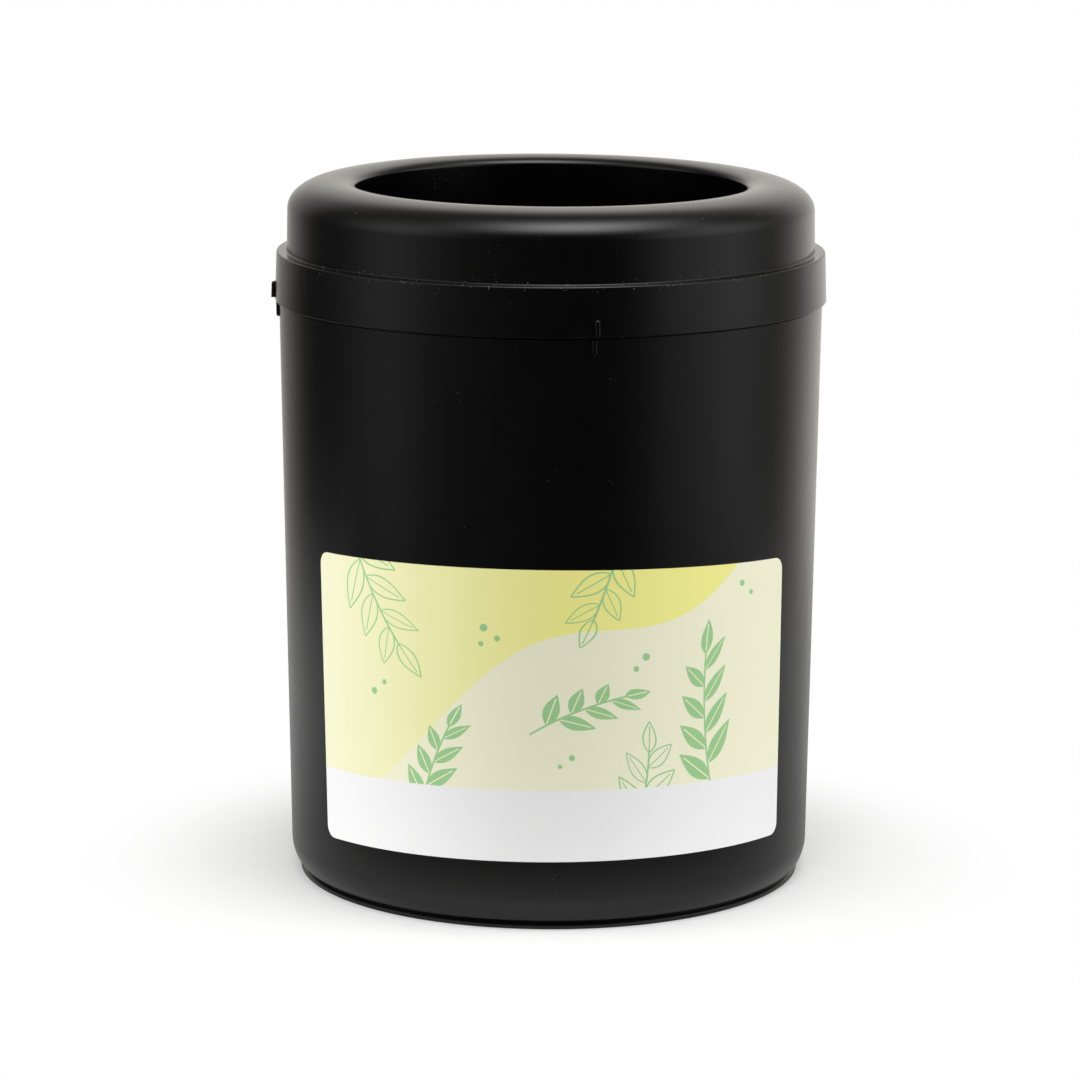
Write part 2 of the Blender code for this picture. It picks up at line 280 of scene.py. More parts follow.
def ribbed(sizes, radius, depth, width, low, high):
    """Angles round a body with four ribs, and the rise of the ribs as a function. Three ribs
    are a quarter turn apart and the left one stands by itself."""
    first = sizes.rib_azimuth
    places = np.array([first, first + np.pi / 2, first + np.pi, sizes.rib_left])

    def rise(t, r, z):
        outside = (r > radius - depth) & (z >= sizes.rib_low) & (z <= sizes.rib_high)
        return outside * rib_rise(t, z, radius, places, low, high, sizes.rib_proud, width)

    return angles_with_ribs(sizes.steps, radius, places, width), rise


def rib_rows(round_end, cut_end):
    """Heights of the rows along a rib, close together at its round end."""
    way = math.copysign(MM, cut_end - round_end)
    ends = [round_end + way * RIB_ROWS, round_end - way * np.array([0.05, 0.2])]
    return np.sort(np.concatenate([*ends, [(round_end + cut_end) / 2, cut_end, cut_end + way * 0.03]]))


def turned(angles, profile, rise=None, lift=None):
    """Points of a surface of two parameters, the angle t and the place s along a profile:
    x = r(s) sin t, y = -r(s) cos t, z = z(s), with rise(t, r, z) added to r and lift(t, r, z)
    to z where they are given."""
    t = angles[:, None]
    r = np.broadcast_to(profile[:, 0], (len(angles), len(profile)))
    z = np.broadcast_to(profile[:, 1], r.shape)
    if rise:
        r = r + rise(t, r, z)
    if lift:
        z = z + lift(t, r, z)
    return np.stack([r * np.sin(t), -r * np.cos(t), z], axis=-1)


def grid_faces(nu, nv, wrap_u, wrap_v):
    """Quads of an nu by nv grid of vertices, closed round in either direction."""
    iu = np.arange(nu if wrap_u else nu - 1)
    iv = np.arange(nv if wrap_v else nv - 1)
    a, b = np.meshgrid(iu, iv, indexing="ij")
    a2, b2 = (a + 1) % nu, (b + 1) % nv
    return np.stack([a * nv + b, a2 * nv + b, a2 * nv + b2, a * nv + b2], axis=-1).reshape(-1, 4)


def capped_solid(angles, profile, rise=None):
    """Points, quads and triangles of a turned solid whose open profile starts and ends beside
    the axis, closed there by a pole at each end."""
    verts = turned(angles, profile, rise)
    nu, nv = verts.shape[:2]
    poles = np.array([(0.0, 0.0, profile[0, 1]), (0.0, 0.0, profile[-1, 1])])
    i = np.arange(nu)
    j = (i + 1) % nu
    start = np.stack([i * nv, np.full(nu, nu * nv), j * nv], axis=1)
    end = np.stack([i * nv + nv - 1, j * nv + nv - 1, np.full(nu, nu * nv + 1)], axis=1)
    points = np.vstack([verts.reshape(-1, 3), poles])
    return points, grid_faces(nu, nv, True, False), np.vstack([start, end])


def mesh_object(name, verts, quads, tris=(), crease=35.0):
    """A mesh object from arrays, smooth except where faces meet more sharply than crease."""
    mesh = bpy.data.meshes.new(name)
    verts = np.ascontiguousarray(verts.reshape(-1, 3), dtype=np.float32)
    tris = np.asarray(tris, dtype=np.int32).reshape(-1, 3)
    corners = np.concatenate([quads.ravel(), tris.ravel()]).astype(np.int32)
    starts = np.concatenate([np.arange(len(quads)) * 4, len(quads) * 4 + np.arange(len(tris)) * 3])
    mesh.vertices.add(len(verts))
    mesh.vertices.foreach_set("co", verts.ravel())
    mesh.loops.add(len(corners))
    mesh.loops.foreach_set("vertex_index", corners)
    mesh.polygons.add(len(starts))
    mesh.polygons.foreach_set("loop_start", starts.astype(np.int32))
    mesh.update(calc_edges=True)
    mesh.validate()
    mesh.shade_smooth()
    mesh.set_sharp_from_angle(angle=math.radians(crease))
    obj = bpy.data.objects.new(name, mesh)
    bpy.context.scene.collection.objects.link(obj)
    return obj


def signed_volume(mesh):
    """Enclosed volume, positive when the faces point outwards."""
    held = bmesh.new()
    held.from_mesh(mesh)
    volume = held.calc_volume(signed=True)
    held.free()
    return volume


def finish_piece(obj, material, slot, *nodes):
    """Gives the piece its finish and its place in the frame."""
    if signed_volume(obj.data) <= 0:
        raise RuntimeError(f"{obj.name} is inside out")
    obj.data.materials.append(material)
    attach(obj, BODY)
    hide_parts(*nodes)


def tub_wall(tub, z):
    """Outer radius of the tapered wall: the rim's radius plus draft times the height below."""
    return tub.seam_r + tub.draft * (z - tub.seam_z)


# shader graphs

class Graph:
    """Short hand for making and joining shader nodes."""

    def __init__(self, tree):
        self.tree = tree
        tree.nodes.clear()

    def node(self, kind, values=None, **settings):
        made = self.tree.nodes.new("ShaderNode" + kind)
        for key, value in settings.items():
            setattr(made, key, value)
        for key, value in (values or {}).items():
            self.put(made.inputs[key], value)
        return made

    def put(self, socket, value):
        if isinstance(value, bpy.types.NodeSocket):
            self.tree.links.new(value, socket)
        else:
            socket.default_value = value

    def math(self, operation, *values, clamp=False):
        made = self.node("Math", dict(enumerate(values)), operation=operation, use_clamp=clamp)
        return made.outputs[0]

    def __getattr__(self, name):
        """Any other name makes a Math node: g.add(a, b), g.sine(a), g.multiply_add(a, b, c)."""
        return lambda *values: self.math(name.upper(), *values)

    def vector(self, operation, *values, out=0):
        made = self.node("VectorMath", dict(enumerate(values)), operation=operation)
        return made.outputs[out]

    def place(self):
        return self.node("TexCoord").outputs["Object"]

    def part(self, vector, axis):
        return self.node("SeparateXYZ", {"Vector": vector}).outputs[axis]

    def ramp(self, value, low, high, to_low=0.0, to_high=1.0, smooth=True):
        kind = "SMOOTHSTEP" if smooth else "LINEAR"
        made = self.node("MapRange", {"Value": value, "From Min": low, "From Max": high,
                                      "To Min": to_low, "To Max": to_high}, interpolation_type=kind)
        return made.outputs[0]

    def scaled(self, colour, factor):
        return self.node("VectorMath", {0: colour, "Scale": factor}, operation="SCALE").outputs[0]

    def mix(self, share, a, b):
        made = self.node("Mix", data_type="RGBA")
        self.put(made.inputs["Factor"], share)
        self.put(made.inputs[6], a)
        self.put(made.inputs[7], b)
        return made.outputs[2]

    def noise(self, place, scale, detail=2.0, rough=0.5):
        made = self.node("TexNoise", {"Vector": place, "Scale": scale, "Detail": detail,
                                      "Roughness": rough})
        return made.outputs["Fac"]


def rgba(value):
    return (value[0], value[1], value[2], 1.0)


def new_material(name):
    material = bpy.data.materials.new(name)
    material.use_nodes = True
    return material, Graph(material.node_tree)


def close_material(g, shader, height=None, strength=0.1, distance=0.0001):
    """Joins the shader to the output, with a bump made from the height where one is given."""
    if height is not None:
        bump = g.node("Bump", {"Height": height, "Strength": strength, "Distance": distance})
        g.put(shader.inputs["Normal"], bump.outputs[0])
    output = g.node("OutputMaterial")
    g.put(output.inputs["Surface"], shader.outputs[0])


def dust_specks(g, place, cell, size, share):
    """Mask of small round specks: cells of a Voronoi pattern, few of which hold a speck."""
    cells = g.node("TexVoronoi", {"Vector": place, "Scale": 1 / cell, "Randomness": 1.0})
    lot = g.node("SeparateColor", {"Color": cells.outputs["Color"]})
    chosen = g.less_than(lot.outputs[0], share)
    reach = g.multiply_add(lot.outputs[1], 0.6 * size / cell, 0.5 * size / cell)
    inside = g.less_than(cells.outputs["Distance"], reach)
    return g.multiply(chosen, inside)


def black_plastic(name, finish, roughness, ledge_z=None):
    """Satin black moulding: fine grain, cloudy gloss and dust, with more of it at ledge_z."""
    material, g = new_material(name)
    place = g.place()
    cloud = g.noise(place, 22.0, 3.0)
    mottle = g.noise(place, 160.0, 3.0)
    grain = g.noise(place, 2600.0, 2.0, 0.6)
    fine = g.noise(place, 700.0, 2.0)
    drift = g.ramp(g.noise(place, 45.0, 2.0), 0.48, 0.78, 0.004, 0.07)
    specks = dust_specks(g, place, 0.6 * MM, 0.11 * MM, drift)
    lint = dust_specks(g, place, 5.0 * MM, 0.20 * MM, 0.05)
    facing = g.part(g.node("NewGeometry").outputs["Normal"], 2)
    up = g.ramp(facing, 0.25, 0.9, 0.35, 1.0)
    dusty = g.multiply(g.maximum(specks, lint), up)
    if ledge_z is not None:
        above = g.subtract(g.part(place, 2), ledge_z)
        near = g.ramp(g.absolute(above), 0.5 * MM, 1.8 * MM, 1.0, 0.0)
        ledge = g.multiply(dust_specks(g, place, 0.65 * MM, 0.14 * MM, 0.22), near)
        dusty = g.maximum(dusty, ledge)
    tone = g.ramp(mottle, 0.3, 0.7, 0.75, 1.3)
    base = g.scaled(finish.plastic[:], tone)
    skin = g.mix(g.multiply(dusty, 0.35), base, rgba(finish.dust))
    rough = g.add(g.ramp(cloud, 0.3, 0.7, roughness - 0.02, roughness + 0.03),
                  g.ramp(fine, 0.3, 0.7, -0.015, 0.015))
    rough = g.multiply_add(dusty, 0.4, rough)
    shader = g.node("BsdfPrincipled", {"Base Color": skin, "Roughness": rough, "IOR": 1.5})
    close_material(g, shader, g.multiply_add(fine, 0.6, grain), 0.25, 0.00003)
    return material


# pieces

def outer_tub_profile(tub):
    """Outside of the tub from the foot ring up over the rim to the top of the neck."""
    edge, top, bevel = 0.35 * MM, 0.06 * MM, 0.5 * MM
    corner_end = 61.0
    corner = (tub_wall(tub, tub.corner_z) - tub.corner_radial, tub.corner_z)
    low = np.array([(tub.foot_inner_r - 0.9 * MM, tub.recess),
                    (tub.foot_inner_r - 0.2 * MM, 0.15 * MM), (tub.foot_inner_r, 0.0)])
    foot = arc((tub.foot_r - edge, edge), (edge, edge), -90, 0, 6)
    # steps in from the foot ring's face and down from its top, to where the groove starts
    crease = np.array([(0.0, 0.35), (0.06, 0.14), (0.22, 0.02)]) * MM
    crease = np.array([tub.foot_r, tub.foot_h]) - crease
    sweep = arc(corner, (tub.corner_radial, tub.corner_height), -corner_end, 0, 28)
    rows = rib_rows(tub.rib_low, tub.rib_high)
    rows = rows[rows < tub.seam_z - top - 0.02 * MM]
    wall = np.stack([tub_wall(tub, rows), rows], axis=1)
    rim = arc((tub_wall(tub, tub.seam_z) - top, tub.seam_z - top), (top, top), 0, 90, 5)
    neck = np.array([(tub.spigot_r, tub.seam_z), (tub.spigot_r, tub.spigot_top - bevel),
                     (tub.spigot_r - bevel, tub.spigot_top)])
    return np.vstack([low, foot, crease, sweep, wall, rim, neck])


def tub_profile(tub):
    """The whole closed section of the tub, from the axis round to the axis."""
    # the moulding's gate under the floor: a low round boss with a nub in its middle
    gate = np.array([(1.2, -0.5), (1.5, -0.3), (3.0, -0.3), (3.6, 0.0)]) * MM
    gate = gate + np.array([0.0, tub.recess])
    inner_high = tub_wall(tub, tub.ledge_z) - tub.wall
    inner_low = tub_wall(tub, tub.corner_z) - tub.wall
    bore = tub.spigot_r - 2.0 * MM
    ledge_thick, brace = 1.2 * MM, 2.9 * MM
    inside = np.array([(bore, tub.spigot_top), (bore, tub.neck_z), (inner_high, tub.groove_z),
                       (inner_high, tub.ledge_z), (tub.ledge_r, tub.ledge_z),
                       (tub.ledge_r, tub.ledge_z - ledge_thick), (inner_high, tub.ledge_z - brace)])
    round_r = 5.5 * MM
    floor_z = tub.recess + tub.wall
    sweep = arc((inner_low - round_r, floor_z + round_r), (round_r, round_r), 0, -90, 8)
    floor = [(gate[0, 0], floor_z)]
    return dense(np.vstack([gate, outer_tub_profile(tub), inside, sweep, floor]), closed=False)


class CARTRIDGE_OT_tub(bpy.types.Operator):
    """Turns the tub with its foot ring, rounded corner, ribs and neck"""
    bl_idname = "cartridge.tub"
    bl_label = "Tub"

    def execute(self, context):
        tub = context.scene.cartridge_tub
        lid = context.scene.cartridge_lid
        angles, rise = ribbed(tub, tub_wall(tub, tub.rib_low), 0.2 * MM, lid.rib_width,
                              tub.rib_low, tub.rib_high + lid.rib_width)
        obj = mesh_object("tub_shell", *capped_solid(angles, tub_profile(tub), rise))
        finish = context.scene.cartridge_finish
        material = black_plastic("tub_satin", finish, finish.plastic_roughness)
        finish_piece(obj, material, "tub_plastic", "cup")
        return {"FINISHED"}


def lid_profile(lid):
    """Closed section of the lid: collar, shoulder, dome, crest, mouth, throat and the hollow."""
    edge, shoulder, fillet = 0.18 * MM, 0.5 * MM, 0.4 * MM
    foot = arc((lid.collar_low_r - edge, lid.collar_z + edge), (edge, edge), -90, 0, 6)
    slope = (lid.collar_top_r - lid.collar_low_r) / (lid.shoulder_z - lid.collar_z)
    rows = rib_rows(lid.rib_high, lid.rib_low)
    rows = rows[rows > lid.collar_z + edge + 0.01 * MM]
    collar = np.stack([lid.collar_low_r + slope * (rows - lid.collar_z), rows], axis=1)
    top = arc((lid.collar_top_r - shoulder, lid.shoulder_z - shoulder), (shoulder, shoulder), 0, 90, 8)
    root = arc((lid.dome_foot_r + fillet, lid.shoulder_z + fillet), (fillet, fillet), -90, -180, 6)
    size = (lid.dome_wall_r - lid.crest_r, lid.crest_z - lid.dome_wall_z)
    dome = super_arc((lid.crest_r, lid.dome_wall_z), size, lid.roll_power, 40)
    lip = super_arc((0.0, lid.mouth_z), (lid.crest_r - lid.mouth_r, lid.crest_z - lid.mouth_z),
                    lid.lip_power, 34)[::-1][1:]
    lip[:, 0] = lid.crest_r - lip[:, 0]
    throat = np.array([(lid.throat_r, lid.throat_z), (lid.throat_r + lid.wall, lid.throat_z),
                       (lid.mouth_r + lid.wall, lid.mouth_z - lid.wall),
                       (lid.crest_r, lid.crest_z - lid.wall)])
    inner = super_arc((lid.crest_r, lid.dome_wall_z), (size[0] - lid.wall, size[1] - lid.wall),
                      lid.roll_power, 8)[:-1][::-1]
    hollow = np.array([(lid.dome_foot_r - lid.wall, lid.ceiling_z), (lid.hollow_r, lid.ceiling_z),
                       (lid.hollow_r, lid.collar_z)])
    return dense(np.vstack([foot, collar, top, root, dome, lip, throat, inner, hollow]), closed=True)


class CARTRIDGE_OT_lid(bpy.types.Operator):
    """Turns the ring lid with its collar, shoulder, rolled dome, mouth and throat"""
    bl_idname = "cartridge.lid"
    bl_label = "Ring lid"

    def execute(self, context):
        lid = context.scene.cartridge_lid
        angles, rise = ribbed(lid, lid.collar_low_r, 0.7 * MM, lid.rib_width,
                              lid.rib_low - lid.rib_width, lid.rib_high)

        def lift(t, r, z):
            share = np.clip((z - lid.shoulder_z) / (lid.crest_z - lid.shoulder_z), 0.0, 1.0)
            return -share * r * (lid.lean_back * np.cos(t) + lid.lean_left * np.sin(t))

        verts = turned(angles, lid_profile(lid), rise, lift)
        obj = mesh_object("lid_shell", verts, grid_faces(*verts.shape[:2], True, True))
        finish = context.scene.cartridge_finish
        material = black_plastic("lid_satin", finish, finish.plastic_roughness - 0.02, lid.shoulder_z)
        finish_piece(obj, material, "lid_plastic", "lid_ring")
        return {"FINISHED"}


# leafy sprigs of the label's print, in label heights from its lower left corner: foot, lean in
# degrees from upright towards +X, height, leaf spacing, leaf length and half width, bend, number
# of leaves on each side, and whether it is drawn in outline
SPRIGS = (
    ((1.50, 0.17), -13, 0.52, 0.108, 0.165, 0.031, 0.30, 4, False),
    ((0.20, 1.04), 158, 0.36, 0.125, 0.190, 0.037, -0.35, 3, True),
    ((0.46, 0.19), 14, 0.28, 0.090, 0.130, 0.026, 0.45, 3, False),
    ((0.84, 0.44), 58, 0.34, 0.092, 0.120, 0.026, 0.55, 3, False),
    ((1.13, 1.04), 196, 0.22, 0.110, 0.150, 0.032, 0.30, 2, True),
    ((1.22, 0.17), 12, 0.20, 0.105, 0.150, 0.030, -0.40, 2, True),
)
# round berries beside them: centre and radius
BERRIES = ((0.69, 0.80, 0.013), (0.735, 0.765, 0.010), (0.68, 0.745, 0.009), (0.27, 0.55, 0.012),
           (0.315, 0.585, 0.009), (1.20, 0.66, 0.010), (1.235, 0.70, 0.013), (1.62, 0.93, 0.011),
           (1.665, 0.895, 0.009), (0.98, 0.36, 0.010), (0.94, 0.33, 0.008))


def leaf_cover(g, u, v, wide, outline):
    """Mask of one lance-shaped leaf, whose half width at the share u of its length is wide times
    sin(pi times u to the power 0.8): the whole leaf less its midrib, or its outline and midrib."""
    line, soft = 0.0022, 0.0012
    inside = g.power(g.math("ADD", u, 0.0, clamp=True), 0.8)
    gap = g.subtract(g.multiply(g.sine(g.multiply(inside, math.pi)), wide), g.absolute(v))
    along = g.multiply(g.ramp(u, -0.01, 0.01), g.ramp(u, 0.99, 1.01, 1.0, 0.0))
    rib = g.multiply(g.ramp(g.absolute(v), line * 0.7, line * 0.7 + soft, 1.0, 0.0),
                     g.ramp(u, 0.84, 0.86, 1.0, 0.0))
    if outline:
        edge = g.ramp(g.absolute(gap), line, line + soft, 1.0, 0.0)
        return g.multiply(g.maximum(edge, rib), along)
    body = g.multiply(g.ramp(gap, -soft, soft), along)
    return g.multiply(body, g.subtract(1.0, rib))


def sprig_cover(g, x, y, foot, lean, tall, pitch, reach, wide, bend, pairs, outline):
    """Mask of a sprig: a bent stem, leaves on alternate sides that repeat each pitch along it
    and grow smaller, and one leaf at the tip. Each point is taken down along its leaf's own
    slant to the stem, and the place there, cut into pitches, says which leaf it is in."""
    slant = math.radians(42)
    c, s = math.cos(math.radians(lean)), math.sin(math.radians(lean))
    dx, dy = g.subtract(x, foot[0]), g.subtract(y, foot[1])
    p = g.multiply_add(dx, s, g.multiply(dy, c))
    q = g.multiply_add(dx, c, g.multiply(dy, -s))
    q = g.subtract(q, g.multiply(g.multiply(p, p), bend))
    out = g.absolute(q)
    start = tall - pairs * pitch
    side = g.multiply_add(g.less_than(q, 0.0), pitch / 2, -start)
    down = g.add(g.multiply_add(out, -1 / math.tan(slant), p), side)
    down = g.divide(down, pitch)
    which = g.floor(down)
    size = g.multiply_add(which, -0.35 / pairs, 1.0)
    local = g.multiply(g.subtract(g.subtract(down, which), 0.5), pitch)
    u = g.multiply_add(out, 1 / math.sin(slant), g.multiply(local, math.cos(slant)))
    u = g.divide(u, g.multiply(size, reach))
    v = g.divide(g.multiply(local, math.sin(slant)), size)
    leaves = leaf_cover(g, u, v, wide, outline)
    ranks = g.multiply(g.greater_than(which, -0.5), g.less_than(which, pairs - 0.5))
    leaves = g.multiply(leaves, ranks)
    tip_u = g.divide(g.subtract(p, tall), reach * 0.7)
    tip = leaf_cover(g, tip_u, q, wide * 0.8, outline)
    stem = g.multiply(g.ramp(out, 0.0026, 0.0040, 1.0, 0.0), g.greater_than(p, 0.0))
    stem = g.multiply(stem, g.less_than(p, tall + 0.01))
    return g.maximum(g.maximum(leaves, tip), stem)


def berry_cover(g, flat, x, y, radius):
    """Mask of a round spot."""
    away = g.vector("DISTANCE", flat, (x, y, 0.0), out=1)
    return g.ramp(away, radius - 0.001, radius + 0.001, 1.0, 0.0)


def label_print(finish):
    """Printed film: a cream to yellow ground with a rising cream field, leafy sprigs and berries,
    above a bare white band. Every shape is worked out from the film's own flat coordinates."""
    material, g = new_material("label_print")
    flat = g.node("UVMap", uv_map="flat").outputs[0]
    x, y = g.part(flat, 0), g.part(flat, 1)
    ground = g.mix(g.ramp(x, 0.0, 0.95, smooth=False), rgba(finish.cream), rgba(finish.yellow))
    swell = g.multiply(g.sine(g.multiply_add(x, 5.2, 3.6)), 0.10)
    crest = g.add(swell, g.multiply_add(x, 0.55, 0.18))
    field = g.ramp(g.subtract(crest, y), -0.002, 0.002)
    ground = g.mix(field, ground, rgba(finish.hill))
    green = None
    for sprig in SPRIGS:
        cover = sprig_cover(g, x, y, *sprig)
        green = cover if green is None else g.maximum(green, cover)
    for berry in BERRIES:
        green = g.maximum(green, berry_cover(g, flat, *berry))
    ground = g.mix(green, ground, rgba(finish.leaf))
    ground = g.mix(g.ramp(y, 0.2455, 0.2485), rgba(finish.paper), ground)
    skin = g.scaled(ground, g.ramp(g.noise(flat, 240.0), 0.3, 0.7, 0.985, 1.015))
    place = g.place()
    rough = g.ramp(g.noise(place, 300.0), 0.3, 0.7, 0.36, 0.44)
    shader = g.node("BsdfPrincipled", {"Base Color": skin, "Roughness": rough, "IOR": 1.45})
    close_material(g, shader, g.noise(place, 1500.0), 0.15, 0.00002)
    return material


class CARTRIDGE_OT_label(bpy.types.Operator):
    """Wraps the printed film label on the front of the tub"""
    bl_idname = "cartridge.label"
    bl_label = "Label"

    def execute(self, context):
        label = context.scene.cartridge_label
        tub = context.scene.cartridge_tub
        mean_r = tub_wall(tub, (label.low_z + label.high_z) / 2)
        corner = label.corner / mean_r
        bend = corner * (1 - np.cos(np.linspace(0, np.pi / 2, 12)))
        middle = np.linspace(-label.half_turn + corner, label.half_turn - corner, 161)[1:-1]
        angle = np.concatenate([bend - label.half_turn, middle, (label.half_turn - bend)[::-1]])[:, None]
        inset = np.clip(corner - (label.half_turn - np.abs(angle)), 0.0, corner) / corner
        cut = np.minimum(label.corner * (1 - np.sqrt(np.clip(1 - inset ** 2, 0, 1))), 0.98 * label.corner)
        share = np.array([0.0, 0.004, 0.25, 0.5, 0.75, 0.996, 1.0])
        foot = label.low_z + label.low_tilt * angle - label.low_droop * angle ** 2
        head = label.high_z + label.high_tilt * angle - label.high_droop * angle ** 2
        z = foot + cut + (head - foot - 2 * cut) * share
        up = (z - foot) / (head - foot)
        t = label.centre + angle + label.lean * (up - 0.5)

        def sheet(lift):
            r = tub_wall(tub, z) + lift
            return np.stack([r * np.sin(t), -r * np.cos(t), z], axis=-1)

        outer = sheet(label.lift + label.thick)
        inner = sheet(label.lift)[:, ::-1]
        verts = np.concatenate([outer, inner], axis=1)
        nu, nv = verts.shape[:2]
        quads = grid_faces(nu, nv, False, True)
        half = nv // 2
        k = np.arange(half - 1)
        left = np.stack([k, k + 1, nv - 2 - k, nv - 1 - k], axis=1)
        right = left[:, ::-1] + (nu - 1) * nv
        obj = mesh_object("label_film", verts, np.vstack([quads, left, right]))
        across = np.broadcast_to((angle + label.half_turn) / (2 * label.half_turn), z.shape)
        aspect = 2 * label.half_turn * mean_r / (label.high_z - label.low_z)
        flat = np.stack([across * aspect, up], axis=-1)
        flat = np.concatenate([flat, flat[:, ::-1]], axis=1).reshape(-1, 2)
        layer = obj.data.uv_layers.new(name="flat")
        corners = np.empty(len(obj.data.loops), dtype=np.int32)
        obj.data.loops.foreach_get("vertex_index", corners)
        layer.data.foreach_set("uv", flat[corners].astype(np.float32).ravel())
        finish_piece(obj, label_print(context.scene.cartridge_finish), "label_print", "label")
        return {"FINISHED"}


def lattice(pitch, reach_i, reach_j):
    """Places ((i + j / 2) pitch, j pitch sqrt(3 / 4)) of a triangular lattice."""
    i, j = np.meshgrid(np.arange(-reach_i, reach_i + 1), np.arange(-reach_j, reach_j + 1), indexing="ij")
    return np.stack([(i + 0.5 * j) * pitch, j * pitch * math.sqrt(0.75)], axis=-1).reshape(-1, 2)


def honeycomb(fill):
    """Closed plate with hexagonal holes. Each cell of a triangular lattice is six rings of six
    corners, from the cell's own outline over the bevelled hole down to the underside; equal
    corners of neighbours are made one, and the outermost cells' outline is carried straight out
    to a rounded rim."""
    pitch, top, low = fill.pitch, fill.screen_z + fill.screen_thick, fill.screen_z
    centres = lattice(pitch, 12, 12)
    centres = centres[np.hypot(centres[:, 0], centres[:, 1]) <= fill.field_r - fill.hole / math.sqrt(3)]
    turns = np.radians(30 + 60 * np.arange(6))
    corner = np.stack([np.cos(turns), np.sin(turns)], axis=-1)
    hole, bevel, under = fill.hole / math.sqrt(3), 0.35 * MM, 0.2 * MM
    radii = np.array([pitch / math.sqrt(3), hole + bevel, hole, hole, hole + under, pitch / math.sqrt(3)])
    heights = np.array([top, top, top - bevel, low + under, low, low])
    flat = centres[:, None, None] + radii[:, None, None] * corner
    tall = np.broadcast_to(heights[:, None, None], flat.shape[:3] + (1,))
    verts = np.concatenate([flat, tall], axis=-1).reshape(-1, 3)
    first, same = np.unique(np.round(verts * 1e6).astype(np.int64), axis=0, return_index=True,
                            return_inverse=True)[1:]
    verts = verts[first]
    index = same.reshape(len(centres), 6, 6)
    after = np.roll(index, -1, axis=2)
    quads = [np.stack([index[:, :-1], after[:, :-1], after[:, 1:], index[:, 1:]], axis=-1).reshape(-1, 4)]
    a, b = index[:, 0].ravel(), after[:, 0].ravel()
    open_side = ~np.isin(a * len(verts) + b, b * len(verts) + a)
    a, b = a[open_side], b[open_side]
    a_low, b_low = index[:, 5].ravel()[open_side], after[:, 5].ravel()[open_side]
    border = np.unique(a)
    angle = np.arctan2(verts[border, 1], verts[border, 0])
    edge = 0.3 * MM
    rim_r = fill.screen_r - np.array([edge, 0.0, 0.0, edge])
    rim_z = np.array([top, top - edge, low + edge, low])
    rim = np.stack([np.cos(angle)[:, None] * rim_r, np.sin(angle)[:, None] * rim_r,
                    np.broadcast_to(rim_z, (len(border), 4))], axis=-1)
    at_a = len(verts) + np.searchsorted(border, a)[:, None] * 4 + np.arange(4)
    at_b = len(verts) + np.searchsorted(border, b)[:, None] * 4 + np.arange(4)
    quads.append(np.stack([a, at_a[:, 0], at_b[:, 0], b], axis=-1))
    for k in range(3):
        quads.append(np.stack([at_a[:, k], at_a[:, k + 1], at_b[:, k + 1], at_b[:, k]], axis=-1))
    quads.append(np.stack([at_a[:, 3], a_low, b_low, at_b[:, 3]], axis=-1))
    points = np.vstack([verts, rim.reshape(-1, 3)])
    return mesh_object("honeycomb_screen", points, np.vstack(quads), crease=25.0)


class CARTRIDGE_OT_screen(bpy.types.Operator):
    """Makes the honeycomb screen that holds the beads in"""
    bl_idname = "cartridge.screen"
    bl_label = "Honeycomb screen"

    def execute(self, context):
        finish = context.scene.cartridge_finish
        obj = honeycomb(context.scene.cartridge_fill)
        finish_piece(obj, black_plastic("screen_satin", finish, 0.36), "screen_plastic", "retainer_screen")
        return {"FINISHED"}


def bead_centres(fill, reach, rng):
    """Two loose layers on a shaken triangular lattice, the upper one over the lower one's gaps
    and with some of its beads missing."""
    pitch = fill.bead_pitch
    n = int(reach / pitch / math.sqrt(0.75)) + 2
    # sideways shift, height over the bed, unevenness and the share of beads that are kept
    layout = ((0.0, 0.9 * MM, 0.5 * MM, 1.0), (0.5 * pitch, 3.1 * MM, 0.7 * MM, 0.88))
    layers = []
    for shift, height, stir, kept in layout:
        flat = lattice(pitch, 2 * n, n) + np.array([shift, shift / math.sqrt(3)])
        flat = flat + rng.uniform(-0.45 * MM, 0.45 * MM, flat.shape)
        tall = fill.bed_z + height + rng.uniform(-stir, stir, len(flat))
        chosen = (np.hypot(flat[:, 0], flat[:, 1]) <= reach) & (rng.uniform(size=len(flat)) < kept)
        layers.append(np.column_stack([flat, tall])[chosen])
    return np.vstack(layers)


def bead_ball():
    """Points, quads and triangles of one round bead: four rings of eight points,
    (sin p cos t, sin p sin t, cos p), between two poles."""
    p = np.radians([36.0, 72.0, 108.0, 144.0])[:, None]
    t = np.radians(45.0 * np.arange(8))[None, :]
    ball = np.stack([np.sin(p) * np.cos(t), np.sin(p) * np.sin(t), np.cos(p) + 0 * t], axis=-1)
    k = np.arange(8)
    n = (k + 1) % 8
    rings = [np.stack([k, n, n - 8, k - 8], axis=-1) + 8 * r for r in (1, 2, 3)]
    caps = [np.stack([k, n, np.full(8, 32)], axis=-1), np.stack([24 + n, 24 + k, np.full(8, 33)], axis=-1)]
    return np.vstack([ball.reshape(-1, 3), [(0, 0, 1), (0, 0, -1)]]), np.vstack(rings), np.vstack(caps)


